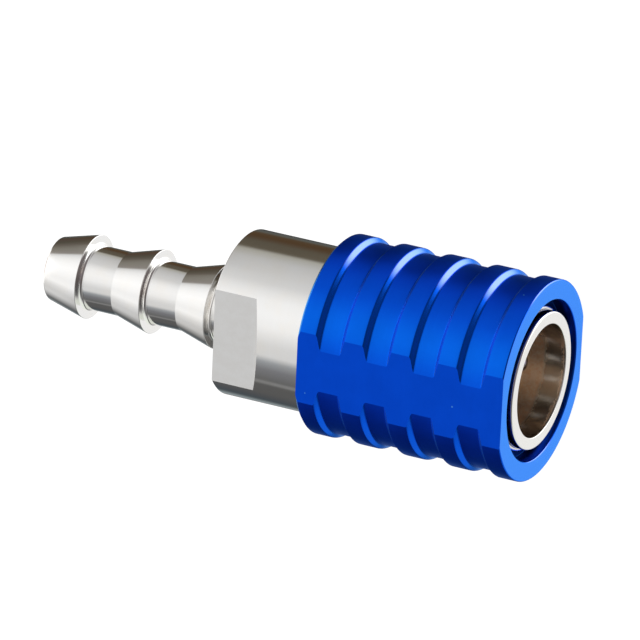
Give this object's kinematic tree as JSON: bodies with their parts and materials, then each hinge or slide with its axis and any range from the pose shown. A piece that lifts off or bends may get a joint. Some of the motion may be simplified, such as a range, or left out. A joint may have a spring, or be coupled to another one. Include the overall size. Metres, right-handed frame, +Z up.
{
  "type": "liquid cooling quick coupling",
  "caption": "Ball-locking flat-face quick coupling socket with a ribbed pull-back sleeve, wrench flats and a barbed hose tail for liquid cooling lines.",
  "frame": {"origin": "centre of the plug socket's mouth, on the axis in the mating face", "axes": "+X along the axis and out of the plug socket, the hose tail points to -X; the wrench flats and the sleeve's flats face +Z and -Z; +Z up, with the coupling lying on its sleeve's lower flat and its axis level"},
  "size_m": [0.0581, 0.022, 0.0204],
  "materials": {
    "blue_anodised": "satin blue anodising",
    "turned_stainless": "fine turned",
    "polished_stainless": "turned and polished",
    "bearing_steel": "ground and polished",
    "spring_steel": "drawn wire",
    "valve_stainless": "fine turned",
    "seal_rubber": "smooth moulded"
  },
  "bodies": {
    "fixed_body": {"socket_housing": "turned_stainless", "hose_adapter": "polished_stainless", "sleeve_retaining_ring": "spring_steel", "sleeve_spring": "spring_steel", "valve_spring": "spring_steel", "plug_seal": "seal_rubber", "body_seal": "seal_rubber", "valve_stem": "valve_stainless", "stem_seal": "seal_rubber", "stem_carrier": "valve_stainless", "stem_nut": "valve_stainless"},
    "sleeve_carriage": {"spring_washer": "valve_stainless"},
    "sleeve": {"locking_sleeve": "blue_anodised"},
    "valve": {"valve_shuttle": "valve_stainless", "shuttle_seal": "seal_rubber"},
    "ball_1": {"locking_ball_1": "bearing_steel"},
    "ball_2": {"locking_ball_2": "bearing_steel"},
    "ball_3": {"locking_ball_3": "bearing_steel"},
    "ball_4": {"locking_ball_4": "bearing_steel"},
    "ball_5": {"locking_ball_5": "bearing_steel"},
    "ball_6": {"locking_ball_6": "bearing_steel"}
  },
  "joints": [
    {"name": "sleeve_slide", "type": "slide", "parent": "fixed_body", "child": "sleeve_carriage", "axis": [-1, 0, 0], "range_m": [0, 0.002], "stiffness_N_per_m": 3000, "springref_m": -0.0005, "deforming": ["sleeve_spring"]},
    {"name": "sleeve_spin", "type": "hinge", "parent": "sleeve_carriage", "child": "sleeve", "pos_m": [-0.012, 0, 0], "axis": [1, 0, 0], "continuous": true},
    {"name": "valve_slide", "type": "slide", "parent": "fixed_body", "child": "valve", "axis": [-1, 0, 0], "range_m": [0, 0.004], "stiffness_N_per_m": 1800, "springref_m": -0.0005, "deforming": ["valve_spring"]},
    {"name": "ball_1_slide", "type": "slide", "parent": "fixed_body", "child": "ball_1", "axis": [0, 0.9511, 0.309], "range_m": [0, 0.00065]},
    {"name": "ball_2_slide", "type": "slide", "parent": "fixed_body", "child": "ball_2", "axis": [0, 0.2079, 0.9781], "range_m": [0, 0.00065]},
    {"name": "ball_3_slide", "type": "slide", "parent": "fixed_body", "child": "ball_3", "axis": [0, -0.7431, 0.6691], "range_m": [0, 0.00065]},
    {"name": "ball_4_slide", "type": "slide", "parent": "fixed_body", "child": "ball_4", "axis": [0, -0.9511, -0.309], "range_m": [0, 0.00065]},
    {"name": "ball_5_slide", "type": "slide", "parent": "fixed_body", "child": "ball_5", "axis": [0, -0.2079, -0.9781], "range_m": [0, 0.00065]},
    {"name": "ball_6_slide", "type": "slide", "parent": "fixed_body", "child": "ball_6", "axis": [0, 0.7431, -0.6691], "range_m": [0, 0.00065]}
  ],
  "couplings": [
    {"joint": "ball_1_slide", "follows": "sleeve_slide", "ratio": 0.325},
    {"joint": "ball_2_slide", "follows": "sleeve_slide", "ratio": 0.325},
    {"joint": "ball_3_slide", "follows": "sleeve_slide", "ratio": 0.325},
    {"joint": "ball_4_slide", "follows": "sleeve_slide", "ratio": 0.325},
    {"joint": "ball_5_slide", "follows": "sleeve_slide", "ratio": 0.325},
    {"joint": "ball_6_slide", "follows": "sleeve_slide", "ratio": 0.325}
  ]
}
